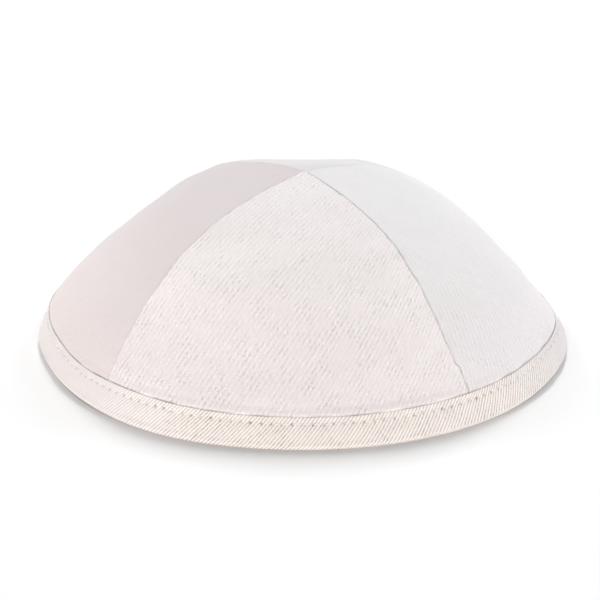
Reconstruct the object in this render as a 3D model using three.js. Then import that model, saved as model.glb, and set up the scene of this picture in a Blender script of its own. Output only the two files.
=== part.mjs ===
// Kippah skullcap: a brimless cap sewn from four gores, its raw edge bound in folded tape.
//
// Millimetres, +Z up. The origin is the centre of the rim on the surface that the cap rests on, the
// front faces -Y, and azimuths run from the front towards +X.
//
// Each gore is a shell whose outer face is drawn by a table of sections. A section gives the crown's
// radius in the middle of a gore, where the cloth lies flat, and at the seams, which stand out as
// soft ridges. The tape is a ring with a U-shaped section that takes the gores' hem between its legs.
import * as THREE from 'three';

// ---- driving dimensions ----

const RIM_RADIUS = 88;
const OVAL = 0.024;                         // how far the rim departs from a circle, over its radius
const OVAL_AZIMUTH = radians(70);           // where the rim is widest

const CROWN_SECTIONS = [
  { height: 2.0, panelRadius: 85.8, seamRadius: 85.8 },
  { height: 9.9, panelRadius: 82.5, seamRadius: 82.5 },
  { height: 16.0, panelRadius: 78.4, seamRadius: 79.1 },
  { height: 22.7, panelRadius: 73.2, seamRadius: 74.7 },
  { height: 29.4, panelRadius: 67.5, seamRadius: 69.6 },
  { height: 36.1, panelRadius: 61.3, seamRadius: 63.3 },
  { height: 42.8, panelRadius: 53.8, seamRadius: 56.0 },
  { height: 49.0, panelRadius: 44.3, seamRadius: 46.9 },
  { height: 54.6, panelRadius: 30.4, seamRadius: 34.8 },
  { height: 59.0, panelRadius: 14.5, seamRadius: 18.0 },
  { height: 61.3, panelRadius: 0, seamRadius: 0 },
];

// Soft hollows and swellings left by handling. Row counts sections from the hem.
const DENTS = [
  { push: -1.5, azimuth: 104, row: 2.2, spreadRows: 1.2 },
  { push: -1.7, azimuth: 104, row: 5.0, spreadRows: 1.5 },
  { push: 2.6, azimuth: -100, row: 2.5, spreadRows: 1.2 },
  { push: -0.6, azimuth: -100, row: 5.5, spreadRows: 1.5 },
];
const DENT_SPREAD_AZIMUTH = 0.6;            // radians

// The tape holds the cloth to its oval up to this row. Above it the cloth is free to dent.
const HELD_ROW = 1;
const FREE_ROW = 2.2;

// Each gore runs from its own seam to the next one.
const GORES = [
  { name: 'front', fromSeam: -49.5, toSeam: 39 },
  { name: 'right', fromSeam: 39, toSeam: 130 },
  { name: 'back', fromSeam: 130, toSeam: 220 },
  { name: 'left', fromSeam: 220, toSeam: 310.5 },
];

const CLOTH_THICKNESS = 1.6;
const HEM_THICKNESS = 1.1;                  // the cloth is pressed thinner inside the tape
const HEM_TOP = 10.5;                       // height where the cloth starts to thicken
const HEM_FADE = 4;                         // height over which it reaches its full thickness
const SEAM_GAP = 0.3;                       // between neighbouring gores
const HEM_GAP = 0.3;                        // between the hem and each leg of the tape

const TAPE_HEIGHT = 9.9;                    // outer leg
const TAPE_INNER_HEIGHT = 9.2;              // inner leg
const TAPE_TOP_RADIUS = 83.9;               // outer face at the top of the outer leg
const TAPE_LEG = 1.0;                       // thickness of each leg
const TAPE_FLOOR = 1.2;                     // thickness under the hem
const TAPE_EDGE = 0.45;                     // rounding of the folded edges
const TAPE_FOLD = 1.1;                      // rounding of the fold under the hem

const GORE_COLUMNS = 16;
const ROWS_PER_SECTION = 1.5;
const TAPE_STEPS = 96;

// ---- shared helpers ----

function radians(degrees) {
  return degrees * Math.PI / 180;
}

// 1 at the azimuth where the rim is widest, fading to a true circle at the tip of the crown.
function ovalFactor(azimuth, fade) {
  return 1 + OVAL * Math.cos(2 * (azimuth - OVAL_AZIMUTH)) * fade;
}

function placeAt(azimuth, radius, height) {
  return [radius * Math.sin(azimuth), -radius * Math.cos(azimuth), height];
}

function closedGeometry(points, triangles) {
  const geometry = new THREE.BufferGeometry();
  geometry.setAttribute('position', new THREE.Float32BufferAttribute(points.flat(), 3));
  geometry.setIndex(triangles.flat());
  geometry.computeVertexNormals();
  return geometry;
}

// ---- crown gores ----

const sectionCurve = new THREE.CatmullRomCurve3(
  CROWN_SECTIONS.map((s) => new THREE.Vector3(s.panelRadius, s.seamRadius, s.height)),
  false, 'catmullrom', 0.5);

const LAST_ROW = CROWN_SECTIONS.length - 1;
const HALF_GORE = Math.PI / 4;

// 0 in the middle of a gore and 1 at its seams, as on a flat panel seen from above.
function seamShare(across) {
  const angle = (across - 0.5) * 2 * HALF_GORE;
  return (1 / Math.cos(angle) - 1) / (Math.SQRT2 - 1);
}

function dentAt(azimuth, row) {
  let push = 0;
  for (const dent of DENTS) {
    const turn = azimuth - radians(dent.azimuth);
    const around = Math.atan2(Math.sin(turn), Math.cos(turn)) / DENT_SPREAD_AZIMUTH;
    const along = (row - dent.row) / dent.spreadRows;
    push += dent.push * Math.exp(-around * around - along * along);
  }
  return push;
}

// Radius and height of the outer face. Row counts sections and may fall between two of them.
function outerProfile(across, azimuth, row) {
  const section = sectionCurve.getPoint(row / LAST_ROW);
  const share = seamShare(across);
  const plain = section.x * (1 - share) + section.y * share;
  const fade = 1 - Math.max(row - HELD_ROW, 0) / (LAST_ROW - HELD_ROW);
  const free = THREE.MathUtils.smoothstep(row, HELD_ROW, FREE_ROW);
  const radius = plain * ovalFactor(azimuth, fade) + dentAt(azimuth, row) * free * fade;
  return new THREE.Vector2(radius, section.z);
}

function clothThickness(height) {
  const share = THREE.MathUtils.smoothstep(height, HEM_TOP, HEM_TOP + HEM_FADE);
  return HEM_THICKNESS + (CLOTH_THICKNESS - HEM_THICKNESS) * share;
}

// The inner face lies one cloth thickness in, square to the outer face's slope.
function innerProfile(across, azimuth, row) {
  const step = 0.05;
  const above = outerProfile(across, azimuth, Math.min(row + step, LAST_ROW));
  const below = outerProfile(across, azimuth, Math.max(row - step, 0));
  const slope = above.clone().sub(below).normalize();
  const outer = outerProfile(across, azimuth, row);
  const thickness = clothThickness(outer.y);
  return new THREE.Vector2(outer.x - slope.y * thickness, outer.y + slope.x * thickness);
}

function goreGeometry(fromSeam, toSeam) {
  const rowCount = Math.round(LAST_ROW * ROWS_PER_SECTION);
  const columns = GORE_COLUMNS;
  const points = [];
  // A row of points keeps half the seam gap from the two planes that bound the gore.
  const addFace = (profile) => {
    const first = points.length;
    for (let i = 0; i < rowCount; i += 1) {
      const row = i / ROWS_PER_SECTION;
      for (let j = 0; j <= columns; j += 1) {
        const across = j / columns;
        const azimuth = fromSeam + (toSeam - fromSeam) * across;
        const { x: radius, y: height } = profile(across, azimuth, row);
        const inset = Math.asin(SEAM_GAP / 2 / radius) * (1 - 2 * across);
        points.push(placeAt(azimuth + inset, radius, height));
      }
    }
    return first;
  };
  const outer = addFace(outerProfile);
  const inner = addFace(innerProfile);

  // Both faces close on the axis side, where the two bounding planes meet.
  const middle = (fromSeam + toSeam) / 2;
  const tipRadius = SEAM_GAP / 2 / Math.sin((toSeam - fromSeam) / 2);
  const tipHeight = CROWN_SECTIONS[LAST_ROW].height;
  const outerTip = points.push(placeAt(middle, tipRadius, tipHeight)) - 1;
  const innerTip = points.push(placeAt(middle, tipRadius, tipHeight - CLOTH_THICKNESS)) - 1;

  const at = (first, i, j) => first + i * (columns + 1) + j;
  const triangles = [];
  const addQuad = (a, b, c, d) => triangles.push([a, b, c], [a, c, d]);
  for (let i = 0; i < rowCount - 1; i += 1) {
    for (let j = 0; j < columns; j += 1) {
      addQuad(at(outer, i, j), at(outer, i, j + 1), at(outer, i + 1, j + 1), at(outer, i + 1, j));
      addQuad(at(inner, i, j), at(inner, i + 1, j), at(inner, i + 1, j + 1), at(inner, i, j + 1));
    }
    addQuad(at(outer, i, 0), at(outer, i + 1, 0), at(inner, i + 1, 0), at(inner, i, 0));
    addQuad(at(outer, i, columns), at(inner, i, columns),
      at(inner, i + 1, columns), at(outer, i + 1, columns));
  }
  const last = rowCount - 1;
  for (let j = 0; j < columns; j += 1) {
    addQuad(at(outer, 0, j), at(inner, 0, j), at(inner, 0, j + 1), at(outer, 0, j + 1));
    triangles.push([at(outer, last, j), at(outer, last, j + 1), outerTip]);
    triangles.push([at(inner, last, j), innerTip, at(inner, last, j + 1)]);
  }
  addQuad(at(outer, last, 0), outerTip, innerTip, at(inner, last, 0));
  addQuad(at(outer, last, columns), at(inner, last, columns), innerTip, outerTip);
  return closedGeometry(points, triangles);
}

// ---- rim binding ----

// Points of a quarter circle that rounds a corner, from one angle to the next.
function roundCorner(centreRadius, centreHeight, size, fromAngle, toAngle, steps) {
  const corner = [];
  for (let i = 0; i <= steps; i += 1) {
    const angle = radians(fromAngle + (toAngle - fromAngle) * i / steps);
    corner.push([centreRadius + size * Math.cos(angle), centreHeight + size * Math.sin(angle)]);
  }
  return corner;
}

// The U-shaped section, counter-clockwise with the radius to the right and the height up.
function tapeSection() {
  const [hem, bound] = CROWN_SECTIONS;
  const lean = (hem.panelRadius - bound.panelRadius) / (bound.height - hem.height);
  const leanAngle = THREE.MathUtils.radToDeg(Math.atan(lean));
  const outside = (height) => TAPE_TOP_RADIUS + (RIM_RADIUS - TAPE_TOP_RADIUS)
    * (TAPE_HEIGHT - height) / (TAPE_HEIGHT - TAPE_FOLD);
  const hemOuter = (height) => hem.panelRadius - lean * (height - hem.height);
  const level = Math.sqrt(1 + lean * lean);            // a thickness, measured level
  const channelOuter = (height) => hemOuter(height) + HEM_GAP * level;
  const channelInner = (height) => hemOuter(height) - (HEM_THICKNESS + HEM_GAP) * level;
  const inside = (height) => channelInner(height) - TAPE_LEG * level;

  const outerTop = TAPE_HEIGHT - TAPE_EDGE;
  const innerTop = TAPE_INNER_HEIGHT - TAPE_EDGE;
  return [
    ...roundCorner(outside(TAPE_FOLD) - TAPE_FOLD, TAPE_FOLD, TAPE_FOLD, -90, leanAngle, 4),
    ...roundCorner(outside(outerTop) - TAPE_EDGE, outerTop, TAPE_EDGE, leanAngle, 90, 2),
    [channelOuter(outerTop), outerTop],
    [channelOuter(TAPE_FLOOR), TAPE_FLOOR],
    [channelInner(TAPE_FLOOR), TAPE_FLOOR],
    [channelInner(innerTop), innerTop],
    ...roundCorner(inside(innerTop) + TAPE_EDGE, innerTop, TAPE_EDGE, 90, 180 + leanAngle, 2),
    ...roundCorner(inside(TAPE_FOLD) + TAPE_FOLD, TAPE_FOLD, TAPE_FOLD, 180 + leanAngle, 270, 3),
  ];
}

function tapeGeometry() {
  const section = tapeSection();
  const points = [];
  const triangles = [];
  for (let i = 0; i < TAPE_STEPS; i += 1) {
    const azimuth = 2 * Math.PI * i / TAPE_STEPS;
    const stretch = ovalFactor(azimuth, 1);
    for (const [radius, height] of section) {
      points.push(placeAt(azimuth, radius * stretch, height));
    }
  }
  const at = (i, k) => (i % TAPE_STEPS) * section.length + (k % section.length);
  for (let i = 0; i < TAPE_STEPS; i += 1) {
    for (let k = 0; k < section.length; k += 1) {
      triangles.push([at(i, k), at(i + 1, k), at(i + 1, k + 1)]);
      triangles.push([at(i, k), at(i + 1, k + 1), at(i, k + 1)]);
    }
  }
  return closedGeometry(points, triangles);
}

// ---- assembly ----

const crownCloth = new THREE.MeshStandardMaterial({ color: 0xe9e1dc, roughness: 0.95, metalness: 0 });
const tapeCloth = new THREE.MeshStandardMaterial({ color: 0xeee3d6, roughness: 0.9, metalness: 0 });

function addPiece(parent, name, geometry, material) {
  const mesh = new THREE.Mesh(geometry, material);
  mesh.name = name;
  parent.add(mesh);
}

const crown = new THREE.Group();
for (const gore of GORES) {
  const geometry = goreGeometry(radians(gore.fromSeam), radians(gore.toSeam));
  addPiece(crown, `crown_panel_${gore.name}`, geometry, crownCloth);
}

const kippah = new THREE.Group();
kippah.add(crown);
addPiece(kippah, 'rim_binding', tapeGeometry(), tapeCloth);

export default kippah;
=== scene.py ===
# Kippah skullcap: four gores of brushed ivory twill, with the raw edge bound in cream tape.
#
# The CAD frame gives every place and size. Lengths are in millimetres, turned into metres by MM,
# except where a comment says metres. Azimuth 0 is the front (-Y), and azimuths run towards +X.
import math

import bpy
import numpy as np
from mathutils import Matrix, Vector


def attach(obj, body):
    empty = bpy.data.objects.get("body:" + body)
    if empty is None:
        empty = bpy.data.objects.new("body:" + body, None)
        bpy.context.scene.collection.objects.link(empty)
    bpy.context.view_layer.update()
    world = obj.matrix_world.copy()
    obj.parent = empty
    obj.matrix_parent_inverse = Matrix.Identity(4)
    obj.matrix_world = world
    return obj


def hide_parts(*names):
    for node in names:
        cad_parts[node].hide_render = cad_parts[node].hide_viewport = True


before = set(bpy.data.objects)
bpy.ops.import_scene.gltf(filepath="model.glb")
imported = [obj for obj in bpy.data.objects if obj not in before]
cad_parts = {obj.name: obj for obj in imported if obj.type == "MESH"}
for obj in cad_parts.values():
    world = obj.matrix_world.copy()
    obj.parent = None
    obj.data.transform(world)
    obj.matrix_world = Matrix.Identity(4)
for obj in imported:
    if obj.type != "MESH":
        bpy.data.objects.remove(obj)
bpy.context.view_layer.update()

MM = 0.001
FULL_TURN = 2 * math.pi
GORES = ("front", "right", "back", "left")
BODY = "root"
WHITE = (1.0, 1.0, 1.0)
UNEVEN_WAVES = 7  # waves that are added up for one field of unevenness

# Seeds of the random fields. Those of a seam or a gore have its number added.
SEED_HOLES = 5
SEED_TAPE = 7
SEED_TAPE_FINE = 8
SEED_BEAT = 30
SEED_PUCKER_SMALL = 40
SEED_SEAM_SHADE = 50
SEED_FOOT_SHADE = 55
SEED_PUCKER_LARGE = 60
SEED_DEPTH = 70
SEED_WAVES_LARGE = 80
SEED_WAVES_SMALL = 90

# ---- sewing sizes ----

SEAM_GAP = 0.3  # between two gores in the frame
SEAM_CLOSED = 0.03  # what is left of that gap where the cloth meets
SEAM_CLOSING = 1.0  # how far into a gore its edge is drawn towards the seam
SEAM_ROLL = 0.75  # width of the edge that rolls down into a seam
SEAM_DEPTHS = (0.52, 0.34, 0.36, 0.2)  # how deep, at the end of each gore
SEAM_FADES = (0.0, 0.8, 0.8, 0.3)  # and how much of that is pressed flat near the tip
SEAM_PITCH = 3.3  # from one pucker along a seam to the next
SEAM_LOOPS = (0.10, 0.25, 0.45, 0.7, 1.1, 1.8)  # extra edge loops, from a seam inwards
TAPE_LOOPS = (-0.3, -0.12, 0.03, 0.18, 0.4, 0.8)  # and from the tape's edge up
ALLOWANCE = 6.5  # width of the cloth pressed open inside along each seam
ALLOWANCE_STEP = 0.45  # how far it stands in from the gore
NOTCH = 0.4  # depth of the crease between two allowances
STITCH_PITCH = 3.5  # from one stitch to the next
STITCH_DROP = 1.9  # from the tape's upper edge down to its row of stitches
THREAD = 0.30  # thickness of the thread
TAPE_SLACK = 0.05  # between the hem and each leg of the tape
TAPE_EDGE = 0.3  # rounding of the tape's folded edges
TAPE_FOLD = 1.5  # rounding of the tape's fold round the rim
TAPE_LEG = 0.85  # thickness of the tape's legs at the fold
TAPE_TOP_LEG = 0.32  # the legs are pressed thinner along their upper edges
TAPE_LEG_THINNING = 4.0  # height where they start to
TAPE_CHANNEL_FLOOR = 1.3  # height of the fold's inside
TAPE_INNER_DROP = 0.7  # the inner leg ends lower than the outer one
STEPS_PER_STITCH = 10  # steps round the rim for each stitch
HEM_WALL = 1.1  # cloth between the tape's legs
MERGE = 0.002  # points closer than this are one in a copied CAD node
MERGE_FINE = 0.01  # and in a finished gore

# ---- small helpers ----


def select_everything(piece):
    """Makes one object active, alone selected, in edit mode with all its points selected."""
    if bpy.context.object and bpy.context.object.mode != "OBJECT":
        bpy.ops.object.mode_set(mode="OBJECT")
    bpy.ops.object.select_all(action="DESELECT")
    piece.select_set(True)
    bpy.context.view_layer.objects.active = piece
    bpy.ops.object.mode_set(mode="EDIT")
    bpy.ops.mesh.select_mode(type="VERT")
    bpy.ops.mesh.select_all(action="SELECT")


def new_object(name, data):
    piece = bpy.data.objects.new(name, data)
    bpy.context.scene.collection.objects.link(piece)
    return piece


def new_plane(name, size):
    bpy.ops.object.select_all(action="DESELECT")
    bpy.ops.mesh.primitive_plane_add(size=size, location=(0, 0, 0))
    bpy.context.object.name = name
    return bpy.context.object


def close_edit():
    bpy.ops.object.mode_set(mode="OBJECT")


def apply_modifier(piece, name, kind, **settings):
    modifier = piece.modifiers.new(name, kind)
    for key, value in settings.items():
        setattr(modifier, key, value)
    bpy.context.view_layer.objects.active = piece
    bpy.ops.object.modifier_apply(modifier=modifier.name)


def points_of(piece):
    """The piece's points as an array, in millimetres."""
    flat = np.empty(len(piece.data.vertices) * 3)
    piece.data.vertices.foreach_get("co", flat)
    return flat.reshape(-1, 3) / MM


def move_points(piece, points):
    piece.data.vertices.foreach_set("co", (points * MM).ravel())
    piece.data.update()


def azimuth_of(points):
    return np.arctan2(points[:, 0], -points[:, 1])


def radii_of(points):
    return np.hypot(points[:, 0], points[:, 1])


def turn_between(azimuth, centre):
    """Signed angle from centre to azimuth, between minus and plus half a turn."""
    return (azimuth - centre + math.pi) % FULL_TURN - math.pi


def smoothstep(value, start, end):
    """0 before start, 1 after end, and a soft rise between them."""
    share = np.clip((value - start) / (end - start), 0, 1)
    return share * share * (3 - 2 * share)


def fade(value, start, end):
    return 1 - smoothstep(value, start, end)


def hump(value, width):
    """1 at zero, and falling off softly to both sides."""
    return np.exp(-(value / width) ** 2)


def turned(azimuth, start, end):
    """A soft rise from 0 to 1 between two azimuths, given in degrees."""
    return smoothstep(azimuth, math.radians(start), math.radians(end))


def way_out(azimuth, raised):
    """The way out from the axis at an azimuth, raised by an angle, both in radians."""
    level = math.cos(raised)
    return Vector((math.sin(azimuth) * level, -math.cos(azimuth) * level, math.sin(raised)))


def bell(azimuth, centre, spread):
    """1 at an azimuth and falling off softly to both sides, all given in degrees but the first."""
    return hump(turn_between(azimuth, math.radians(centre)), math.radians(spread))


def unevenness(across, along, size, seed):
    """Soft unevenness between about -1 and 1: waves of about one size, in many directions."""
    pick = np.random.RandomState(seed)
    total = np.zeros(len(across))
    for _ in range(UNEVEN_WAVES):
        direction = pick.uniform(0, FULL_TURN)
        length = size * pick.uniform(0.7, 1.5)
        phase = pick.uniform(0, FULL_TURN)
        along_wave = across * math.cos(direction) + along * math.sin(direction)
        total += np.sin(FULL_TURN * along_wave / length + phase)
    return total / math.sqrt(UNEVEN_WAVES)


def set_uv(piece, across, along):
    """A UV map in metres, from one value a point."""
    layer = piece.data.uv_layers.get("cloth") or piece.data.uv_layers.new(name="cloth")
    corners = np.empty(len(piece.data.loops), dtype=np.int64)
    piece.data.loops.foreach_get("vertex_index", corners)
    uv = np.column_stack([across[corners], along[corners]]) * MM
    layer.data.foreach_set("uv", uv.ravel())
    return uv


# ---- sizes read from the frame ----

frame_points = {name: points_of(node) for name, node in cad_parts.items()}

HEM_BAND = 0.2  # height of the lowest strip of a gore
SAME_HEIGHT = 0.01
WIDEST_SHARE = 0.93  # the widest ring of the tape is at least this far out
ROW_POINTS = 60  # a level row of a gore's outer face has more points than this


def hem_span(side):
    """First and last azimuth of a gore at its hem."""
    points = frame_points["crown_panel_" + side]
    hem = points[points[:, 2] < points[:, 2].min() + HEM_BAND]
    azimuths = azimuth_of(hem)
    centre = math.atan2(np.sin(azimuths).mean(), np.cos(azimuths).mean())
    turns = turn_between(azimuths, centre)
    return centre + turns.min(), centre + turns.max()


def seam_azimuths():
    """Azimuth of the seam at the end of each gore."""
    spans = [hem_span(side) for side in GORES]
    seams = []
    for index, (_, end) in enumerate(spans):
        start_of_next = spans[(index + 1) % len(spans)][0]
        seams.append(end + turn_between(start_of_next, end) / 2)
    return seams


def rim_oval():
    """Mean radius of the rim and the two parts of its oval, from the widest ring of the tape."""
    points = frame_points["rim_binding"]
    azimuths = azimuth_of(points)
    radii = radii_of(points)
    height = points[np.argmax(radii), 2]
    level = np.abs(points[:, 2] - height) < SAME_HEIGHT
    ring = level & (radii > radii.max() * WIDEST_SHARE)
    doubled = 2 * azimuths[ring]
    terms = np.column_stack([np.ones(ring.sum()), np.cos(doubled), np.sin(doubled)])
    return np.linalg.lstsq(terms, radii[ring], rcond=None)[0]


SEAMS = seam_azimuths()
RIM, OVAL_COS, OVAL_SIN = rim_oval()


def oval_factor(azimuth):
    return 1 + (OVAL_COS * np.cos(2 * azimuth) + OVAL_SIN * np.sin(2 * azimuth)) / RIM


def round_radii(node):
    """Radii and heights of a node's points, with the rim's oval taken out."""
    points = frame_points[node]
    radii = radii_of(points) / oval_factor(azimuth_of(points))
    return radii, points[:, 2]


def hem_line():
    """Height and radius at the foot of a gore's outer face, and how much it leans in on the way up."""
    radii, heights = round_radii("crown_panel_front")
    radius_of = {}
    for radius, height in zip(radii, np.round(heights, 3)):
        radius_of.setdefault(height, []).append(radius)
    # A row of the outer face is level all the way across, and no row of the inner face is.
    level_rows = sorted(height for height, found in radius_of.items() if len(found) > ROW_POINTS)
    low = level_rows[0]
    high = max(height for height in level_rows if height < TAPE_TOP)
    low_radius, high_radius = (float(np.mean(radius_of[height])) for height in (low, high))
    return low, low_radius, (low_radius - high_radius) / (high - low)


TAPE_TOP = round_radii("rim_binding")[1].max()
INNER_TOP = TAPE_TOP - TAPE_INNER_DROP
STITCH_HEIGHT = TAPE_TOP - STITCH_DROP
HEM_LOW, HEM_LOW_RADIUS, HEM_LEAN = hem_line()
LEAN_ANGLE = math.degrees(math.atan(HEM_LEAN))
LEVEL = math.sqrt(1 + HEM_LEAN ** 2)  # how much thicker a leaning wall is, measured level
STITCHES = round(FULL_TURN * RIM / STITCH_PITCH)


def hem_outer(height):
    """Radius of the hem's outer face."""
    return HEM_LOW_RADIUS - HEM_LEAN * (height - HEM_LOW)


def leg(height):
    """Thickness of the tape's legs, measured level."""
    thinned = smoothstep(height, TAPE_LEG_THINNING, TAPE_TOP)
    return (TAPE_LEG + (TAPE_TOP_LEG - TAPE_LEG) * thinned) * LEVEL


def channel_outer(height):
    """Radius of the outer wall of the channel that takes the hem."""
    return hem_outer(height) + TAPE_SLACK * LEVEL


def channel_inner(height):
    """Radius of that channel's inner wall."""
    return hem_outer(height) - (HEM_WALL + TAPE_SLACK) * LEVEL


def inner_face(height):
    """The tape's inner face."""
    return channel_inner(height) - leg(height)


def outer_face(height):
    """The tape's outer face, from the rim's radius at the fold to one leg off the cloth at the top."""
    top = channel_outer(TAPE_TOP) + leg(TAPE_TOP)
    share = (height - TAPE_FOLD) / (TAPE_TOP - TAPE_FOLD)
    return RIM + (top - RIM) * share


# ---- shader groups ----

# Sockets of the colour mixing node.
MIX_FIRST = 6
MIX_SECOND = 7
MIX_RESULT = 2


class NodeBench:
    """Adds nodes to a tree in short calls."""

    def __init__(self, tree):
        self.tree = tree

    def add(self, kind, inputs=(), **settings):
        node = self.tree.nodes.new(kind)
        for key, value in settings.items():
            setattr(node, key, value)
        for name, value in dict(inputs).items():
            self.feed(node.inputs[name], value)
        return node

    def feed(self, socket, value):
        if isinstance(value, bpy.types.NodeSocket):
            self.tree.links.new(value, socket)
        else:
            socket.default_value = value

    def math(self, operation, first, second=0.0, clamp=False):
        node = self.add("ShaderNodeMath", operation=operation, use_clamp=clamp)
        self.feed(node.inputs[0], first)
        self.feed(node.inputs[1], second)
        return node.outputs[0]

    def times(self, first, second):
        return self.math("MULTIPLY", first, second)

    def mix_colour(self, factor, first, second, blend="MIX"):
        node = self.add("ShaderNodeMix", data_type="RGBA", blend_type=blend)
        self.feed(node.inputs["Factor"], factor)
        self.feed(node.inputs[MIX_FIRST], first)
        self.feed(node.inputs[MIX_SECOND], second)
        return node.outputs[MIX_RESULT]

    def remap(self, value, source, target):
        """The value carried over from one range to another."""
        names = {"Value": value, "From Min": source[0], "From Max": source[1],
                 "To Min": target[0], "To Max": target[1]}
        return self.add("ShaderNodeMapRange", names).outputs[0]

    def noise(self, place, scale, **inputs):
        names = {"Vector": place, "Scale": scale}
        names.update(inputs)
        return self.add("ShaderNodeTexNoise", names)

    def vector(self, operation, **inputs):
        """A vector sum: first and second are its vectors, and scale its number."""
        sockets = {"first": 0, "second": 1, "scale": "Scale"}
        named = {sockets[name]: value for name, value in inputs.items()}
        return self.add("ShaderNodeVectorMath", named, operation=operation).outputs[0]

    def weighted_sum(self, *terms):
        """The sum of pairs of a value and its weight."""
        total = self.times(*terms[0])
        for value, weight in terms[1:]:
            total = self.math("ADD", total, self.times(value, weight))
        return total


def new_group(name, inputs, outputs):
    """A shader node group with inputs (name, kind, value) and outputs (name, kind)."""
    group = bpy.data.node_groups.new(name, "ShaderNodeTree")
    for label, kind, value in inputs:
        socket = group.interface.new_socket(label, in_out="INPUT", socket_type=kind)
        if value is not None:
            socket.default_value = value
    for label, kind in outputs:
        group.interface.new_socket(label, in_out="OUTPUT", socket_type=kind)
    bench = NodeBench(group)
    return group, bench, bench.add("NodeGroupInput").outputs, bench.add("NodeGroupOutput").inputs


MM_PER_METRE = 1000.0
MID_GREY = (0.5, 0.5, 0.5)  # the noise colour that stands for no push


def noise_push(bench, place, scale, detail, strength):
    """A push to and fro from coloured noise, for moving a place sideways."""
    cloud = bench.noise(place, scale, Detail=detail).outputs["Color"]
    centred = bench.vector("SUBTRACT", first=cloud, second=MID_GREY)
    return bench.vector("SCALE", first=centred, scale=strength)


def make_twill_group():
    """Floats of yarn side by side, each shifted up a little, so that they line up in diagonal ribs.

    Yarn is the width of a float, Repeat its length with the gap after it, Cover its share of that, and
    Rise the step from one float to the next, all in mm. Wander bends the ribs, Raggedness the floats.
    """
    group, bench, given, out = new_group(
        "twill_weave",
        [("Vector", "NodeSocketVector", None),
         ("Yarn", "NodeSocketFloat", 0.45),
         ("Rise", "NodeSocketFloat", 0.77),
         ("Repeat", "NodeSocketFloat", 3.1),
         ("Cover", "NodeSocketFloat", 0.72),
         ("Wander", "NodeSocketFloat", 0.1),
         ("Raggedness", "NodeSocketFloat", 0.1)],
        [("Height", "NodeSocketFloat"),
         ("Float Shade", "NodeSocketFloat")])
    place = bench.vector("SCALE", first=given["Vector"], scale=MM_PER_METRE)
    drift = noise_push(bench, place, 0.35, 2.0, given["Wander"])
    jitter = noise_push(bench, place, 1.3, 1.0, given["Raggedness"])
    placed = bench.vector("ADD", first=place, second=drift)
    placed = bench.vector("ADD", first=placed, second=jitter)
    parts = bench.add("ShaderNodeSeparateXYZ", {0: placed})

    yarns = bench.math("DIVIDE", parts.outputs["X"], given["Yarn"])
    column = bench.math("FLOOR", yarns)
    side = bench.math("SUBTRACT", bench.times(bench.math("FRACT", yarns), 2.0), 1.0)
    roundness = bench.math("SUBTRACT", 1.0, bench.times(side, side))

    rise = bench.times(column, given["Rise"])
    shifted = bench.math("SUBTRACT", parts.outputs["Y"], rise)
    repeats = bench.math("DIVIDE", shifted, given["Repeat"])
    number = bench.math("FLOOR", repeats)
    along = bench.math("DIVIDE", bench.math("FRACT", repeats), given["Cover"])
    half_turn = bench.times(bench.math("MINIMUM", along, 1.0), math.pi)
    arch = bench.math("SINE", half_turn)
    lift = bench.math("POWER", bench.math("MAXIMUM", arch, 0.0), 0.6)
    across = bench.math("ADD", bench.times(roundness, 0.6), 0.4)
    bench.feed(out["Height"], bench.times(lift, across))

    cell = bench.add("ShaderNodeCombineXYZ", {0: column, 1: number, 2: 0.0})
    chance = bench.add("ShaderNodeTexWhiteNoise", {"Vector": cell.outputs[0]}, noise_dimensions="3D")
    bench.feed(out["Float Shade"], chance.outputs["Value"])
    return group


def make_mottle_group():
    """Soft cloudy patches and fine flecks, as in cloth spun from several shades of fibre.

    Wear is where the brushed cloth still shows its weave. The scales are in waves to a metre.
    """
    group, bench, given, out = new_group(
        "fibre_mottle",
        [("Vector", "NodeSocketVector", None),
         ("Patch Scale", "NodeSocketFloat", 60.0),
         ("Fleck Scale", "NodeSocketFloat", 700.0)],
        [("Patches", "NodeSocketFloat"),
         ("Flecks", "NodeSocketFloat"),
         ("Fuzz", "NodeSocketFloat"),
         ("Wear", "NodeSocketFloat")])
    place = given["Vector"]
    patches = bench.noise(place, given["Patch Scale"], Detail=3.0, Roughness=0.55)
    bench.feed(out["Patches"], patches.outputs["Fac"])

    stretched = bench.add("ShaderNodeMapping", {"Vector": place, "Scale": (1.0, 0.45, 1.0)})
    flecks = bench.noise(stretched.outputs[0], given["Fleck Scale"], Detail=2.0, Roughness=0.6)
    bench.feed(out["Flecks"], flecks.outputs["Fac"])

    wear = bench.noise(place, 130.0, Detail=1.5, Roughness=0.5)
    worn = bench.remap(wear.outputs["Fac"], (0.38, 0.62), (0.0, 1.0))
    breaks = bench.noise(place, 720.0, Detail=0.5)
    broken = bench.remap(breaks.outputs["Fac"], (0.45, 0.56), (0.1, 1.0))
    bench.feed(out["Wear"], bench.times(worn, broken))

    fuzz_scale = bench.times(given["Fleck Scale"], 3.2)
    fuzz = bench.noise(place, fuzz_scale, Detail=3.0, Roughness=0.7)
    bench.feed(out["Fuzz"], fuzz.outputs["Fac"])
    return group


# ---- materials ----

TWILL = make_twill_group()
MOTTLE = make_mottle_group()


def new_material(name):
    material = bpy.data.materials.new(name)
    material.use_nodes = True
    bench = NodeBench(material.node_tree)
    shader = material.node_tree.nodes["Principled BSDF"]
    return material, bench, shader


def set_finish(shader, **values):
    """Plain values for the shader's own sockets, with _ in place of the spaces in their names."""
    for name, value in values.items():
        shader.inputs[name.replace("_", " ")].default_value = value


def place_group(bench, group, **inputs):
    node = bench.add("ShaderNodeGroup")
    node.node_tree = group
    for name, value in inputs.items():
        bench.feed(node.inputs[name], value)
    return node


MEAN_RELIEF = 0.415  # mean height of the twill group's weave


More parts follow.
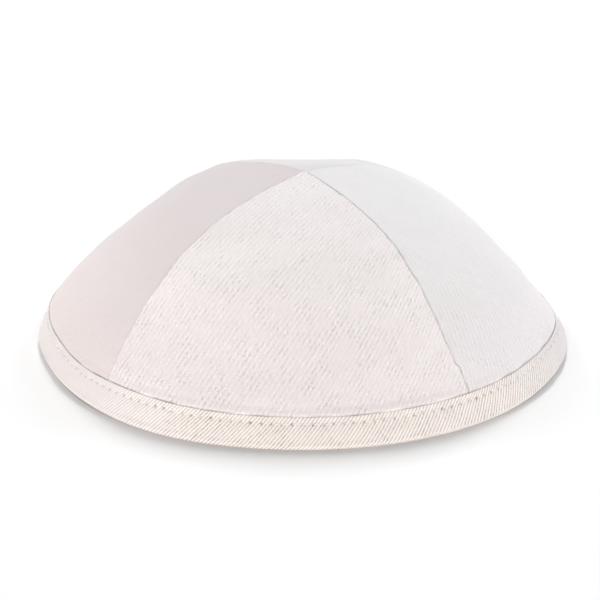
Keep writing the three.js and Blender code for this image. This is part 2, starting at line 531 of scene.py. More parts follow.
def cloth_material(name, pale, deep, weave, bump, shade):
    """Matt woven cloth.

    weave holds the twill group's inputs, bump its depth in mm, and shade how much each part of the
    weave darkens the cloth from pale to deep.
    """
    material, bench, shader = new_material(name)
    uv = bench.add("ShaderNodeUVMap", uv_map="cloth").outputs[0]
    twill = place_group(bench, TWILL, Vector=uv, **weave)
    mottle = place_group(bench, MOTTLE, Vector=uv)

    seen = bench.remap(mottle.outputs["Wear"], (0.0, 1.0), (shade["faintest"], 1.0))
    # The relief is measured from its mean, so that the cloth keeps its tone where the weave is worn.
    relief = bench.remap(twill.outputs["Height"], (0.0, 1.0), (MEAN_RELIEF, MEAN_RELIEF - 1))
    relief = bench.times(relief, seen)
    chance = bench.math("SUBTRACT", twill.outputs["Float Shade"], 0.5)
    chance = bench.times(chance, seen)
    flecks, patches, fuzz = (
        bench.math("SUBTRACT", mottle.outputs[part], 0.5) for part in ("Flecks", "Patches", "Fuzz"))
    grain = bench.weighted_sum(
        (relief, shade["ribs"]), (fuzz, shade["fuzz"]),
        (chance, shade["floats"]), (flecks, shade["flecks"]))
    crisp = bench.add("ShaderNodeAttribute", attribute_name="crispness").outputs["Fac"]
    tone = bench.math("ADD", bench.times(grain, crisp), shade["middle"])
    tone = bench.math("ADD", tone, bench.times(patches, shade["patches"]), clamp=True)
    colour = bench.mix_colour(tone, pale, deep)
    # Painted light and shade: the tint in the shade attribute multiplies the colour.
    tint = bench.add("ShaderNodeAttribute", attribute_name="shade").outputs["Color"]
    colour = bench.mix_colour(1.0, colour, tint, "MULTIPLY")
    bench.feed(shader.inputs["Base Color"], colour)

    height = bench.times(bench.times(twill.outputs["Height"], seen), crisp)
    for part in ("Fuzz", "Flecks"):
        rough = bench.times(mottle.outputs[part], bump[part.lower()])
        height = bench.math("ADD", height, rough)
    depth = bump["depth"] * MM
    bumped = bench.add("ShaderNodeBump", {"Strength": 1.0, "Distance": depth, "Height": height})
    bench.feed(shader.inputs["Normal"], bumped.outputs[0])
    set_finish(shader, Roughness=0.92, Specular_IOR_Level=0.2, Sheen_Weight=0.12, Sheen_Roughness=0.5)
    return material


CROWN_CLOTH = cloth_material(
    "ivory_brushed_twill", (0.89, 0.84, 0.83, 1), (0.60, 0.55, 0.54, 1),
    {"Yarn": 0.445, "Rise": 0.77, "Repeat": 3.08, "Cover": 0.7, "Wander": 0.6, "Raggedness": 1.15},
    {"depth": 0.12, "fuzz": 0.4, "flecks": 0.3},
    {"middle": 0.38, "faintest": 0.12, "ribs": 1.18, "floats": 0.34, "flecks": 0.45, "patches": 0.04,
     "fuzz": 1.15})
TAPE_CLOTH = cloth_material(
    "cream_binding_twill", (0.97, 0.9, 0.86, 1), (0.4, 0.35, 0.31, 1),
    {"Yarn": 0.33, "Rise": 0.35, "Repeat": 1.4, "Cover": 0.68, "Wander": 0.12, "Raggedness": 0.2},
    {"depth": 0.12, "fuzz": 0.1, "flecks": 0.15},
    {"middle": 0.27, "faintest": 0.6, "ribs": 1.3, "floats": 0.25, "flecks": 0.1, "patches": 0.05,
     "fuzz": 0.3})


def thread_material():
    """Twisted thread, a little uneven in tone."""
    material, bench, shader = new_material("cream_thread")
    place = bench.add("ShaderNodeTexCoord").outputs["Object"]
    ply = bench.noise(place, 2600.0, Detail=2.0).outputs["Fac"]
    colour = bench.mix_colour(ply, (0.80, 0.76, 0.73, 1), (0.93, 0.89, 0.86, 1))
    bench.feed(shader.inputs["Base Color"], colour)
    bumped = bench.add("ShaderNodeBump", {"Strength": 0.6, "Distance": 0.05 * MM, "Height": ply})
    bench.feed(shader.inputs["Normal"], bumped.outputs[0])
    set_finish(shader, Roughness=0.6, Sheen_Weight=0.1)
    return material


THREAD_FINISH = thread_material()


def dress(piece, material, sharpest):
    """Gives the active piece its material, and smooths all edges but those sharper than this."""
    bpy.ops.object.shade_smooth_by_angle(angle=math.radians(sharpest))
    piece.data.materials.clear()
    piece.data.materials.append(material)


def paint(piece, colours, crispness):
    """A tint of painted light and shade at each point, to multiply the cloth by, and how crisply its
    weave shows there.
    """
    layer = piece.data.attributes.new("shade", "FLOAT_COLOR", "POINT")
    with_alpha = np.column_stack([colours, np.ones(len(colours))])
    layer.data.foreach_set("color", with_alpha.astype(np.float32).ravel())
    layer = piece.data.attributes.new("crispness", "FLOAT", "POINT")
    layer.data.foreach_set("value", crispness.astype(np.float32))


def blend_colours(share, first, second):
    share = share[:, None]
    return np.array(first) * (1 - share) + np.array(second) * share


# ---- how the cap has settled ----

# Soft swellings of the crown: azimuth and height of the middle, push, spread in degrees and in height.
SWELLINGS = (
    (-100, 14, -0.4, 24, 3),
    (-108, 20, -0.5, 30, 5),
    (-113, 34, -0.55, 25, 9),
    (-126, 49, 1.3, 14, 6),
    (184, 53, -1.2, 19, 7),
    (-148, 52, 0.45, 9, 5),
    (152, 51, 0.7, 10, 4),
    (131, 47.5, -0.75, 6, 6),
    (116, 39, -0.3, 10, 6),
    (105, 17, 0.75, 15, 5),
    (97, 12, -0.6, 9, 3),
)
# Where the tape's upper edge stands out: azimuth, lift, push, spread in degrees.
LIFTS = (
    (-97, 1.7, 1.5, 34),
    (-78, 0.0, 0.8, 11),
    (-61, -0.75, 0.0, 11),
    (-38, 0.3, 0.0, 16),
    (10, -0.4, 0.0, 45),
    (83, 0.0, 1.6, 14),
    (100, 0.0, -0.9, 9),
    (-103, 0.0, -0.5, 6),
)
LIFT_FADE = (14, 42)  # heights over which a lift dies away
PUSH_FADE = (11, 20)  # and such a push
# Where the rim isn't quite round on the floor: azimuth, push, spread in degrees.
RIM_PUSHES = ((-32, 1.5, 20), (-76, -1.1, 11))
RIM_PUSH_FADE = (12, 40)
# Where the rim doesn't quite touch the floor: azimuth, lift, spread in degrees.
RIM_LIFTS = ((-62, 0.7, 15), (70, 0.7, 14))
RIM_LIFT_FADE = (3, 11)
TIP_SHIFT = 1.5  # the tip leans to +X
TIP_SHIFT_RISE = (30, 61)  # heights over which the lean comes in
JOG = 1.2  # sideways step of the front right seam just above the tape
JOG_HEIGHT = 18.0
JOG_BLUR = 0.9  # half the height that it takes
JOG_SPREAD = 7.0  # how far from the seam the cloth follows it


def swelling(azimuth, height):
    """How far the crown swells at each point, above the tape."""
    total = np.zeros(len(azimuth))
    for centre, middle, push, spread, rise in SWELLINGS:
        total += push * bell(azimuth, centre, spread) * hump(height - middle, rise)
    return total * smoothstep(height, TAPE_TOP - 0.2, TAPE_TOP + 2.5)


def settle(points):
    """Moves of all the cloth, the same for gores, tape and thread, so that they stay together."""
    azimuth = azimuth_of(points)
    height = points[:, 2]
    moved = points.copy()
    away = np.column_stack([np.sin(azimuth), -np.cos(azimuth)])
    for centre, lift, push, spread in LIFTS:
        share = bell(azimuth, centre, spread) * np.clip(height / TAPE_TOP, 0, 1)
        moved[:, 2] += lift * share * fade(height, *LIFT_FADE)
        moved[:, :2] += away * (push * share * fade(height, *PUSH_FADE))[:, None]
    for centre, push, spread in RIM_PUSHES:
        share = bell(azimuth, centre, spread) * fade(height, *RIM_PUSH_FADE)
        moved[:, :2] += away * (push * share)[:, None]
    for centre, lift, spread in RIM_LIFTS:
        share = bell(azimuth, centre, spread) * fade(height, *RIM_LIFT_FADE)
        moved[:, 2] += lift * share
    moved[:, 0] += TIP_SHIFT * smoothstep(height, *TIP_SHIFT_RISE)

    seam = SEAMS[0]
    from_seam = points @ seam_normal(seam)
    jogged = fade(height, JOG_HEIGHT - JOG_BLUR, JOG_HEIGHT + JOG_BLUR)
    jogged *= smoothstep(height, TAPE_TOP - 3, TAPE_TOP)
    jogged *= hump(from_seam, JOG_SPREAD) * (ahead_of_axis(points, seam) > 0)
    moved += seam_normal(seam) * (JOG * jogged)[:, None]
    return moved


# ---- crown gores ----

# Each gore is tinted with painted light and shade, so its tone changes with height and from gore
# to gore as light falls on it. Each stop has a height, the tint there, and how crisply the weave
# shows.
GORE_PAINTED_LIGHT_AND_CRISPNESS = {
    "front": (
        (14, (0.984, 0.977, 0.988), 1.0),
        (38, (1.052, 1.058, 1.064), 0.98),
        (52, (0.968, 0.984, 0.992), 0.75),
        (60, (0.965, 0.985, 0.995), 0.65)),
    "right": (
        (14, (0.966, 0.971, 0.997), 0.6),
        (30, (0.942, 0.96, 0.98), 0.5),
        (43, (0.923, 0.955, 0.975), 0.35),
        (53, (0.892, 0.93, 0.95), 0.25),
        (60, (0.91, 0.95, 0.97), 0.3)),
    "back": (
        (14, (0.84, 0.866, 0.885), 0.7),
        (42, (0.84, 0.87, 0.89), 0.6),
        (54, (0.85, 0.884, 0.904), 0.55)),
    "left": (
        (14, (0.92, 0.889, 0.89), 0.3),
        (30, (0.871, 0.851, 0.863), 0.2),
        (50, (0.795, 0.777, 0.792), 0.1)),
}
# How far painted shade darkens the cloth along the seam at the end of each gore.
SEAM_SHADES = (0.25, 0.06, 0.06, 0.1)
BACK_SEAM_SHADE = 0.14  # and how much more painted shade on the two back seams, below the tip
FOOT_SHADE = 0.3  # and how much painted shade where the cloth goes behind the tape
SEAM_SHADE_REACH = 0.28  # how far a seam's painted shade goes into the gore

HELD_RISE = (10.5, 16)  # heights over which the cloth comes free of the tape
TIP_RADII = (1.5, 11)  # distances from the axis over which a seam gets its full depth
TIP_DEPTH = 0.12  # share of that depth at the tip itself
PRESSED_RISE = (30, 44)  # heights over which some seams get flatter
# A seam's depth varies along it: its mean share, the swing, and the length of the waves.
DEPTH_MEAN = 0.78
DEPTH_SWING = 0.4
DEPTH_LENGTH = 7.0
# Puckers along the seams: push, and how far into the gore it reaches.
PUCKER_SMALL = (0.15, 1.7)
PUCKER_LARGE = (0.22, 6.0)
# Waves in a gore's middle: push, length and seed.
WAVES = ((0.26, 34.0, SEED_WAVES_LARGE), (0.10, 15.0, SEED_WAVES_SMALL))
WAVES_START = 7.0  # distance from a seam where the waves are full
PUFF = 0.4  # how far the cloth bellies out above the tape
GATHER = 0.07  # and how far it is gathered there by the stitches
GATHER_HEIGHT = 11.2
GATHER_RISE = 1.4
HEM_CLEARANCES = (0.02, 0.07)  # from the hem to the channel's outer and inner wall
SNUG_LIMITS = (-0.5, 0.8)  # the most that it is pulled in or out
INNER_SHARE = 0.8  # share of the waves that shows on the inside
MAP_STEP = 200.0  # from one gore's place on the map to the next
OUTSIDE_FACING = 0.45  # faces that look out and up this much are on the outside
FAR = 1000.0  # a distance that stands for being nowhere near


def outward_angle(profile):
    """Heights up a gore's middle, and how far above level its face looks there."""
    steps = np.diff(profile, axis=0)
    middle = (profile[1:] + profile[:-1]) / 2
    return middle[:, 1], np.arctan2(-steps[:, 0], steps[:, 1])


def copy_gore(side):
    """A merged copy of the CAD gore in quads, with sharp rims creased and outer points marked."""
    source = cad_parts["crown_panel_" + side]
    gore = new_object("crown_" + side, source.data.copy())
    select_everything(gore)
    bpy.ops.mesh.customdata_custom_splitnormals_clear()
    bpy.ops.mesh.remove_doubles(threshold=MERGE * MM)
    bpy.ops.mesh.tris_convert_to_quads(
        face_threshold=math.radians(60), shape_threshold=math.radians(130))
    bpy.ops.mesh.select_mode(type="EDGE")
    bpy.ops.mesh.select_all(action="DESELECT")
    bpy.ops.mesh.edges_select_sharp(sharpness=math.radians(50))
    bpy.ops.transform.edge_crease(value=1)
    close_edit()

    outer = set()
    for face in gore.data.polygons:
        centre = face.center / MM
        level = Vector((centre.x, centre.y, 0)).normalized()
        if face.normal.dot(level + Vector((0, 0, 1))) > OUTSIDE_FACING:
            outer.update(face.vertices)
    outer = sorted(outer)
    gore.vertex_groups.new(name="outside").add(outer, 1.0, "REPLACE")
    return gore, outer


def weights_of(piece, group):
    """The group's weight at each point."""
    index = piece.vertex_groups[group].index
    weights = np.zeros(len(piece.data.vertices))
    for vertex in piece.data.vertices:
        for member in vertex.groups:
            if member.group == index:
                weights[vertex.index] = member.weight
    return weights


def seam_normal(seam):
    """Level direction across a seam's plane, towards greater azimuths."""
    return np.array([math.cos(seam), math.sin(seam), 0.0])


def ahead_of_axis(points, seam):
    """How far each point is on the seam's side of the axis."""
    return points[:, 0] * math.sin(seam) - points[:, 1] * math.cos(seam)


def seam_offset(points, seam, way):
    """Distance of each point from a seam's plane towards the gore, or FAR behind the axis."""
    across = points @ seam_normal(seam) * way
    return np.where(ahead_of_axis(points, seam) > -1.0, across, FAR)


def spine_profile(points, middle):
    """Radii and heights up the middle of a gore's outer face, from the hem to the tip."""
    spine = points[np.abs(turn_between(azimuth_of(points), middle)) < 0.002]
    profile = np.column_stack([radii_of(spine), spine[:, 2]])
    return profile[np.argsort(profile[:, 1])]


def cut_loops(gore, start, end, middle):
    """Adds edge loops beside the two seams and at the tape's upper edge."""
    cuts = []
    for seam in (start, end):
        across = Vector(seam_normal(seam))
        if across.dot(Vector((math.sin(middle), -math.cos(middle), 0))) < 0:
            across = -across
        cuts += [(across * (SEAM_GAP / 2 + loop) * MM, across) for loop in SEAM_LOOPS]
    cuts += [((0, 0, (TAPE_TOP + loop) * MM), (0, 0, 1)) for loop in TAPE_LOOPS]
    for place, normal in cuts:
        select_everything(gore)
        bpy.ops.mesh.bisect(plane_co=place, plane_no=normal, threshold=1e-6)
        close_edit()


def pucker_of(near, run, seam_number):
    """Small and large puckers along each seam, the same on both its sides."""
    pucker = np.zeros(len(near))
    for seam in range(len(GORES)):
        here = seam_number == seam
        spread = near[here] * 0.4
        beat = run[here] + 0.8 * unevenness(spread, run[here], 13.0, SEED_BEAT + seam)
        small = 0.6 * np.cos(FULL_TURN * beat / SEAM_PITCH)
        small += 0.4 * unevenness(spread, run[here], 5.0, SEED_PUCKER_SMALL + seam)
        large = unevenness(spread, run[here], 20.0, SEED_PUCKER_LARGE + seam)
        for kind, (push, reach) in ((small, PUCKER_SMALL), (large, PUCKER_LARGE)):
            pucker[here] += push * kind * np.exp(-near[here] / reach)
    return pucker


def gore_push(number, points, outside, across, along, near, seam_number):
    """How far each point of a gore is pushed out of its face."""
    azimuth = azimuth_of(points)
    height = points[:, 2]
    radius = radii_of(points)
    level_radius = radius / oval_factor(azimuth)
    run = height - level_radius  # a length up the cap that both sides of a seam share

    # The cloth turns down into the seam, less towards the tip, where four seams share the room.
    depth = np.array(SEAM_DEPTHS)[seam_number]
    depth *= TIP_DEPTH + (1 - TIP_DEPTH) * smoothstep(radius, *TIP_RADII)
    depth *= 1 - np.array(SEAM_FADES)[seam_number] * smoothstep(height, *PRESSED_RISE)
    depth *= DEPTH_MEAN + DEPTH_SWING * unevenness(run, run * 0, DEPTH_LENGTH, SEED_DEPTH)
    roll = depth * (1 - np.sqrt(1 - np.clip(1 - near / SEAM_ROLL, 0, 1) ** 2))

    waves = np.zeros(len(points))
    for push, length, seed in WAVES:
        waves += push * unevenness(across, along, length, seed + number)
    waves *= smoothstep(near, 0, WAVES_START)  # both sides of a seam stand equally high
    waves += pucker_of(near, run, seam_number)
    waves *= smoothstep(height, *HELD_RISE)

    # Over the tape the cloth bellies out, at the front and sides only, and the stitches gather it.
    puffed = PUFF * smoothstep(height, TAPE_TOP - 0.2, TAPE_TOP + 0.3)
    puffed *= 1 - 0.6 * smoothstep(height, 12, 24)
    puffed *= 1 - turned(np.abs(azimuth), 76, 96)
    gather = GATHER * np.sin(FULL_TURN * azimuth * RIM / STITCH_PITCH)
    gather *= hump(height - GATHER_HEIGHT, GATHER_RISE)

    # Behind the tape it lies snugly in the channel.
    outer_gap, inner_gap = HEM_CLEARANCES
    held_outer = channel_outer(height) - outer_gap
    held_inner = channel_inner(height) + inner_gap
    held_radius = np.where(outside > 0.5, held_outer, held_inner)
    snug = np.clip(held_radius - level_radius, *SNUG_LIMITS)
    snug *= fade(height, TAPE_TOP + 0.1, TAPE_TOP + 2.5)

    # Inside, the allowances of two gores lie pressed open beside each seam.
    allowance = ALLOWANCE_STEP * fade(near, ALLOWANCE - 0.5, ALLOWANCE + 0.5)
    allowance *= smoothstep(height, 9, 12)
    notch = NOTCH * np.clip(1 - near / 0.5, 0, 1)

    swollen = swelling(azimuth, height)
    outer_push = snug + puffed + gather - roll + waves + swollen
    inner_push = snug - allowance + notch + waves * INNER_SHARE + swollen
    return outer_push * outside + inner_push * (1 - outside)


def gore_colours(number, side, points, across, along, near, seam_number):
    """The tint of painted light and shade at each point of a gore, and how crisply its weave shows."""
    azimuth = azimuth_of(points)
    height = points[:, 2]
    stops, tints, crisps = zip(*GORE_PAINTED_LIGHT_AND_CRISPNESS[side])
    tint = np.column_stack([np.interp(height, stops, channel) for channel in zip(*tints)])
    # Painted shade along the seams, and more of it on the two back seams below the tip.
    behind = turned(np.abs(azimuth), 100, 120) * fade(height, 40, 52)
    painted_shade = np.array(SEAM_SHADES)[seam_number] + BACK_SEAM_SHADE * behind
    painted_shade *= 0.7 + 0.3 * unevenness(along, along * 0, 6.0, SEED_SEAM_SHADE + number)
    tint *= 1 - (painted_shade * hump(near, SEAM_SHADE_REACH))[:, None]
    # Painted shade in patches along the cloth's foot, where it goes behind the tape.
    patchy = 0.6 + 0.6 * unevenness(across, along * 0, 9.0, SEED_FOOT_SHADE + number)
    painted_shade = FOOT_SHADE * np.clip(patchy, 0, 1)
    tint *= 1 - (painted_shade * fade(height, TAPE_TOP, TAPE_TOP + 0.5))[:, None]
    return tint, np.interp(height, stops, crisps)


def make_gore(number, side):
    """A gore's CAD shell, subdivided and then shaped as sewn cloth."""
    start, end = SEAMS[number - 1], SEAMS[number]
    middle = start + turn_between(end, start) / 2
    gore, outer = copy_gore(side)
    profile = spine_profile(points_of(gore)[outer], middle)
    angle_heights, angles = outward_angle(profile)
    steps = np.hypot(*np.diff(profile, axis=0).T)
    lengths = np.concatenate([[0], np.cumsum(steps)])
    apply_modifier(gore, "fine", "SUBSURF", levels=3, render_levels=3)
    cut_loops(gore, start, end, middle)

    points = points_of(gore)
    azimuth = azimuth_of(points)
    height = points[:, 2]
    across = radii_of(points) * turn_between(azimuth, middle)
    along = np.interp(height, profile[:, 1], lengths)
    set_uv(gore, across + MAP_STEP * number, along)

    from_start = seam_offset(points, start, 1) - SEAM_GAP / 2
    from_end = seam_offset(points, end, -1) - SEAM_GAP / 2
    near = np.clip(np.minimum(from_start, from_end), 0, None)
    seam_number = np.where(from_start < from_end, (number - 1) % len(GORES), number)
    outside = weights_of(gore, "outside")
    push = gore_push(number, points, outside, across, along, near, seam_number)

    raised = np.interp(height, angle_heights, angles)
    outward = np.column_stack([
        np.sin(azimuth) * np.cos(raised), -np.cos(azimuth) * np.cos(raised), np.sin(raised)])
    moved = points + outward * push[:, None]
    for seam, way, offset in ((start, -1, from_start), (end, 1, from_end)):
        closing = hump(np.clip(offset, 0, None), SEAM_CLOSING)
        closing *= (SEAM_GAP - SEAM_CLOSED) / 2
        moved += seam_normal(seam) * way * closing[:, None]
    move_points(gore, settle(moved))
    paint(gore, *gore_colours(number, side, points, across, along, near, seam_number))

    select_everything(gore)
    bpy.ops.mesh.remove_doubles(threshold=MERGE_FINE * MM)
    close_edit()
    dress(gore, CROWN_CLOTH, 50)
    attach(gore, BODY)
    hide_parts("crown_panel_" + side)


# ---- rim binding ----

# Painted shade on the tape: tints towards its left and right sides, and the colour of its needle
# holes.
TAPE_LEFT_PAINTED_SHADE = (0.92, 0.935, 0.972)
TAPE_RIGHT_PAINTED_SHADE = (0.863, 0.857, 0.915)
HOLE_PAINTED_SHADE = (0.22, 0.18, 0.15)
TO_THE_BACK = (112, 165)  # azimuths over which the differences of the two sides die away

HOLE_COUNT = 400  # at least one for each stitch
HOLE_LENGTH = 0.46  # along the tape
HOLE_HEIGHT = 0.34
HOLE_DEPTH = 0.40
# How strong a hole's painted shade is, picked at random between these.
HOLE_STRENGTHS = (0.35, 1.0)
HOLE_ASTRAY = (-0.22, 0.22)  # how far a hole is out of line
DRAWN_IN = 0.07  # depth of the groove along the stitches
PLUMP = 0.16  # how far the tape stands out below them
RIPPLE = 0.05  # and between them, along the upper edge
LUMP = 0.22  # where it passes over a seam
LUMP_SPREAD = 6.5
FACE_REACH = 0.35  # how deep into the tape its face's moves reach


def arc(radius, height, size, start, end, steps):
    """Points on an arc about (radius, height), from one angle to another in degrees."""
    angles = np.radians(np.linspace(start, end, steps + 1))
    return np.column_stack([radius + size * np.cos(angles), height + size * np.sin(angles)])


def wall(face, start, end, count):
    """Points up or down one of the tape's slanting faces."""
    heights = np.linspace(start, end, count)
    return np.column_stack([face(heights), heights])


def tape_section():
    """The tape's U-shaped outline as radius and height, counter-clockwise from under the rim."""
    stitch = STITCH_HEIGHT
    thin = TAPE_EDGE / 2
    crest = TAPE_TOP - thin
    inner_crest = INNER_TOP - thin
    return np.vstack([
        arc(outer_face(TAPE_FOLD) - TAPE_FOLD, TAPE_FOLD, TAPE_FOLD, -90, LEAN_ANGLE, 8),
        wall(outer_face, TAPE_FOLD + 0.8, stitch - 1.0, 6),
        wall(outer_face, stitch - 0.75, stitch + 0.75, 7),
        wall(outer_face, stitch + 1.1, crest - 0.1, 2),
        arc(outer_face(crest) - thin, crest, thin, LEAN_ANGLE, 180 + LEAN_ANGLE, 5),
        wall(channel_outer, crest - 0.5, TAPE_CHANNEL_FLOOR, 3),
        wall(channel_inner, TAPE_CHANNEL_FLOOR, inner_crest - 0.5, 3),
        arc(inner_face(inner_crest) + thin, inner_crest, thin, LEAN_ANGLE, 180 + LEAN_ANGLE, 5),
        wall(inner_face, inner_crest - 0.2, stitch + 1.0, 2),
        wall(inner_face, stitch + 0.6, stitch - 0.6, 5),
        wall(inner_face, stitch - 1.2, TAPE_FOLD + 0.8, 4),
        arc(inner_face(TAPE_FOLD) + TAPE_FOLD, TAPE_FOLD, TAPE_FOLD, 180 + LEAN_ANGLE, 265, 6),
    ])


def tape_push(azimuth, along_tape, height, on_outer):
    """How far the tape's faces stand out, and how near a needle hole each point is, weighted by how
    dark that hole's painted shade is.
    """
    across = height - STITCH_HEIGHT
    beat = along_tape / STITCH_PITCH
    pick = np.random.RandomState(SEED_HOLES)
    strength = pick.uniform(*HOLE_STRENGTHS, HOLE_COUNT)
    astray = pick.uniform(*HOLE_ASTRAY, (2, HOLE_COUNT))
    number = np.round(beat).astype(int) % HOLE_COUNT
    from_hole = (beat - np.round(beat)) * STITCH_PITCH - astray[0][number]
    above_hole = across - astray[1][number] * 0.5
    hole = hump(from_hole, HOLE_LENGTH) * hump(above_hole, HOLE_HEIGHT)
    drawn_in = -DRAWN_IN * hump(across, 0.8) - HOLE_DEPTH * hole
    # The holes' painted shade: fainter on the sides, and of random strength.
    sides = turned(-azimuth, 34, 56) + turned(azimuth, 46, 66)
    shown = 1 - 0.8 * sides * (1 - turned(np.abs(azimuth), *TO_THE_BACK))
    hole = hole * strength[number] * shown

    plump = PLUMP * np.sin(math.pi * np.clip((height - 0.6) / (STITCH_HEIGHT - 0.6), 0, 1))
    ripple = RIPPLE * np.sin(FULL_TURN * (beat + 0.25)) * hump(across - 1.4, 0.8)
    lumps = np.zeros(len(azimuth))
    for seam in SEAMS:
        lumps += LUMP * hump(turn_between(azimuth, seam) * RIM, LUMP_SPREAD)
    soft = 0.12 * unevenness(along_tape, height * 2, 22.0, SEED_TAPE)
    soft += 0.05 * unevenness(along_tape, height, 8.0, SEED_TAPE_FINE)
    return drawn_in + plump + ripple * on_outer + lumps * (0.4 + 0.6 * on_outer) + soft, hole


def extrude_section(name, section):
    """A line of points in the plane of the front, one after another and back to the first."""
    piece = new_plane(name, MM)
    select_everything(piece)
    bpy.ops.mesh.merge(type="CENTER")
    first = Vector((0, -section[0, 0], section[0, 1])) * MM
    bpy.ops.transform.translate(value=first)
    for last, here in zip(section[:-1], section[1:]):
        step = Vector((0, last[0] - here[0], here[1] - last[1])) * MM
        bpy.ops.mesh.extrude_region_move(TRANSFORM_OT_translate={"value": step})
    bpy.ops.mesh.select_all(action="SELECT")
    bpy.ops.mesh.edge_face_add()
    bpy.ops.mesh.delete(type="ONLY_FACE")
    close_edit()
    return piece


def look_outwards(piece):
    select_everything(piece)
    bpy.ops.mesh.normals_make_consistent(inside=False)
    close_edit()


def tape_colours(azimuth, hole):
    """The tint at each point of the tape, painted shade towards its sides and in its needle holes, and
    how crisply its weave shows.
    """
    ahead = 1 - turned(np.abs(azimuth), *TO_THE_BACK)
    # Painted shade towards the left and right sides, fading towards the back.
    tint = blend_colours(turned(-azimuth, 15, 60) * ahead, WHITE, TAPE_LEFT_PAINTED_SHADE)
    tint *= blend_colours(turned(azimuth, 45, 88) * ahead, WHITE, TAPE_RIGHT_PAINTED_SHADE)
    # Painted shade in the needle holes.
    tint = tint * blend_colours(hole, WHITE, HOLE_PAINTED_SHADE)
    worn = 0.7 * turned(-azimuth, 20, 52) + 0.45 * turned(azimuth, 48, 80)
    return tint, 1 - worn * ahead


def make_tape():
    """The tape's section, turned round the rim and pulled into shape."""
    tape = extrude_section("rim_tape", tape_section())
    steps = STITCHES * STEPS_PER_STITCH
    apply_modifier(
        tape, "round", "SCREW", axis="Z", angle=FULL_TURN, steps=steps, render_steps=steps,
        use_merge_vertices=True, merge_threshold=0.005 * MM)
    look_outwards(tape)

    points = points_of(tape)
    azimuth = azimuth_of(points)
    radius = radii_of(points)
    height = points[:, 2]
    girth = STITCHES * STITCH_PITCH
    along_tape = azimuth / FULL_TURN * girth
    on_outer = (radius > hem_outer(height) - HEM_WALL * LEVEL / 2).astype(float)
    face = np.where(on_outer > 0, outer_face(height), inner_face(height))
    reach = 1 - np.clip(np.abs(radius - face) / FACE_REACH, 0, 1)
    push, hole = tape_push(azimuth, along_tape, height, on_outer)
    push *= reach * smoothstep(height, 0.1, 1.6)
    push *= np.where(on_outer > 0, 1.0, -1.0)
    raised = math.radians(LEAN_ANGLE)
    radius = (radius + push * math.cos(raised)) * oval_factor(azimuth)
    height_moved = height + push * math.sin(raised)
    moved = np.column_stack([radius * np.sin(azimuth), -radius * np.cos(azimuth), height_moved])
    move_points(tape, settle(moved))
    paint(tape, *tape_colours(azimuth, hole * reach))

    across = np.where(on_outer > 0, height, -height - 3)
    uv = set_uv(tape, along_tape, across)
    close_round(tape, uv, girth * MM)
    dress(tape, TAPE_CLOTH, 60)
    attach(tape, BODY)
    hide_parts("rim_binding")


def close_round(piece, uv, girth):
    """Brings round the far corners of the faces that cross the back, so the map doesn't jump."""
    corners = np.empty(len(piece.data.polygons), dtype=np.int64)
    piece.data.polygons.foreach_get("loop_start", corners)
    corners = corners[:, None] + np.arange(4)
    across = uv[:, 0][corners]
    crossing = across.max(axis=1) - across.min(axis=1) > girth / 2
    across[crossing] += np.where(across[crossing] < 0, girth, 0)
    uv[:, 0][corners] = across
    piece.data.uv_layers["cloth"].data.foreach_set("uv", uv.ravel())


STITCH_SHARE = 0.92  # of the pitch from stitch to stitch
STITCH_SLIMMING = 0.35  # how much thinner its ends are
STITCH_DIVE = 0.42  # how far its ends go down into the cloth
STITCH_CUTS = (-0.42, 0.42, 7)
STITCH_SUNK = 0.07  # how far the whole row lies in the tape


def model_stitch():
    """One plump stitch along X, with its ends bent down."""
    bpy.ops.object.select_all(action="DESELECT")
    length = STITCH_PITCH * STITCH_SHARE
    bpy.ops.mesh.primitive_cylinder_add(
        vertices=6, radius=THREAD / 2 * MM, depth=length * MM, rotation=(0, math.pi / 2, 0))
    bpy.ops.object.transform_apply(location=True, rotation=True, scale=True)
    model = bpy.context.object
    for cut in np.linspace(*STITCH_CUTS) * length:
        select_everything(model)
        bpy.ops.mesh.bisect(plane_co=(cut * MM, 0, 0), plane_no=(1, 0, 0))
    close_edit()
    shape = points_of(model)
    share = np.abs(shape[:, 0]) / (length / 2)
    slim = 1 - STITCH_SLIMMING * share ** 3
    shape[:, 1] *= slim
    shape[:, 2] = shape[:, 2] * slim - STITCH_DIVE * share ** 3
    return model, shape


def make_stitches(name, on_outer):
    """One stitch, copied round the rim with its ends in the needle holes."""
    model, shape = model_stitch()
    face = outer_face(STITCH_HEIGHT) if on_outer else inner_face(STITCH_HEIGHT)
    way = 1 if on_outer else -1
    copies = []
    for number in range(STITCHES):
        azimuth = FULL_TURN * (number + 0.5) / STITCHES - math.pi
        radius = face * oval_factor(azimuth) - way * STITCH_SUNK
        outward = way_out(azimuth, math.radians(LEAN_ANGLE)) * way
        tangent = Vector((math.cos(azimuth), math.sin(azimuth), 0))
        turn = Matrix((tangent, outward.cross(tangent), outward)).transposed()
        place = way_out(azimuth, 0) * radius + Vector((0, 0, STITCH_HEIGHT))
        copy = new_object(name, model.data.copy())
        move_points(copy, settle(shape @ np.array(turn).T + np.array(place)))
        copies.append(copy)
    bpy.data.objects.remove(model)
    bpy.ops.object.select_all(action="DESELECT")
    for copy in copies:
        copy.select_set(True)
    bpy.context.view_layer.objects.active = copies[0]
    bpy.ops.object.join()
    row = bpy.context.object
    row.name = name
    look_outwards(row)
    dress(row, THREAD_FINISH, 60)
    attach(row, BODY)


# ---- stage ----

FLOOR_SIZE = 8  # metres

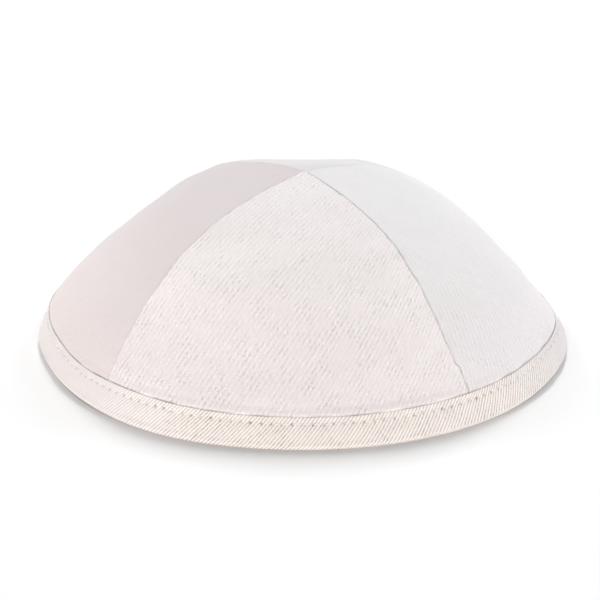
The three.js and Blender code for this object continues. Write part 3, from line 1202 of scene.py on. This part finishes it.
# Soft boxes round the cap: azimuth and elevation in degrees, distance, width and height in metres,
# watts, colour.
SOFT_BOXES = {
    "back_key": (178, 46, 3.4, 1.3, 1.2, 92.0, (1.0, 1.0, 1.0)),
    "back_left_key": (-128, 42, 3.4, 1.3, 1.2, 30.0, (1.0, 0.99, 0.98)),
    "back_right_key": (126, 42, 3.4, 1.3, 1.2, 29.0, (0.96, 0.99, 1.0)),
    "front_fill": (-4, 7.5, 1.4, 1.0, 0.2, 14.8, (1.0, 0.975, 0.96)),
    "left_fill": (-84, 7.0, 1.3, 0.8, 0.2, 4.4, (1.0, 0.98, 0.97)),
    "right_fill": (84, 7.0, 1.3, 0.8, 0.2, 4.9, (0.94, 0.98, 1.0)),
}
LIGHT_TARGET = Vector((0, 0, 20)) * MM
ROOM_LIGHT = 0.13

CAMERA_ELEVATION = math.radians(23.1)
CAMERA_DISTANCE = 1.063  # metres
CAMERA_TARGET = Vector((0, 0, 26.4)) * MM
CAMERA_LOOK = Vector((-0.5, 0, 14.4)) * MM
CAMERA_ROLL = math.radians(-0.43)
SENSOR_WIDTH = 36
LENS = 188.75
CLIP_START = 0.05  # metres


def make_floor():
    floor = new_plane("floor", FLOOR_SIZE)
    material, _, shader = new_material("white_floor")
    shader.inputs["Base Color"].default_value = (0.85, 0.85, 0.85, 1)
    set_finish(shader, Roughness=0.8, Specular_IOR_Level=0.1)
    floor.data.materials.append(material)


def make_lights():
    """Keys from behind, for a shadow in front, and low fills."""
    world = bpy.data.worlds.new("studio")
    bpy.context.scene.world = world
    world.use_nodes = True
    background = world.node_tree.nodes["Background"]
    background.inputs["Color"].default_value = (*WHITE, 1)
    background.inputs["Strength"].default_value = ROOM_LIGHT
    for name, (azimuth, elevation, distance, width, tall, power, colour) in SOFT_BOXES.items():
        light = bpy.data.lights.new(name, "AREA")
        light.shape = "ELLIPSE"
        light.size = width
        light.size_y = tall
        light.energy = power
        light.color = colour
        lamp = new_object(name, light)
        way = way_out(math.radians(azimuth), math.radians(elevation))
        lamp.location = LIGHT_TARGET + way * distance
        lamp.rotation_euler = way.to_track_quat("Z", "Y").to_euler()
    bpy.context.scene.view_settings.view_transform = "Standard"


def make_camera():
    data = bpy.data.cameras.new("camera")
    data.sensor_width = SENSOR_WIDTH
    data.lens = LENS
    data.clip_start = CLIP_START
    camera = new_object("camera", data)
    camera.location = CAMERA_TARGET + way_out(0, CAMERA_ELEVATION) * CAMERA_DISTANCE
    aim = (CAMERA_LOOK - camera.location).to_track_quat("-Z", "Y").to_matrix()
    camera.rotation_euler = (aim @ Matrix.Rotation(CAMERA_ROLL, 3, "Z")).to_euler()
    bpy.context.scene.camera = camera


make_camera()
make_lights()
make_floor()
for number, side in enumerate(GORES):
    make_gore(number, side)
make_tape()
make_stitches("tape_stitches_outside", True)
make_stitches("tape_stitches_inside", False)
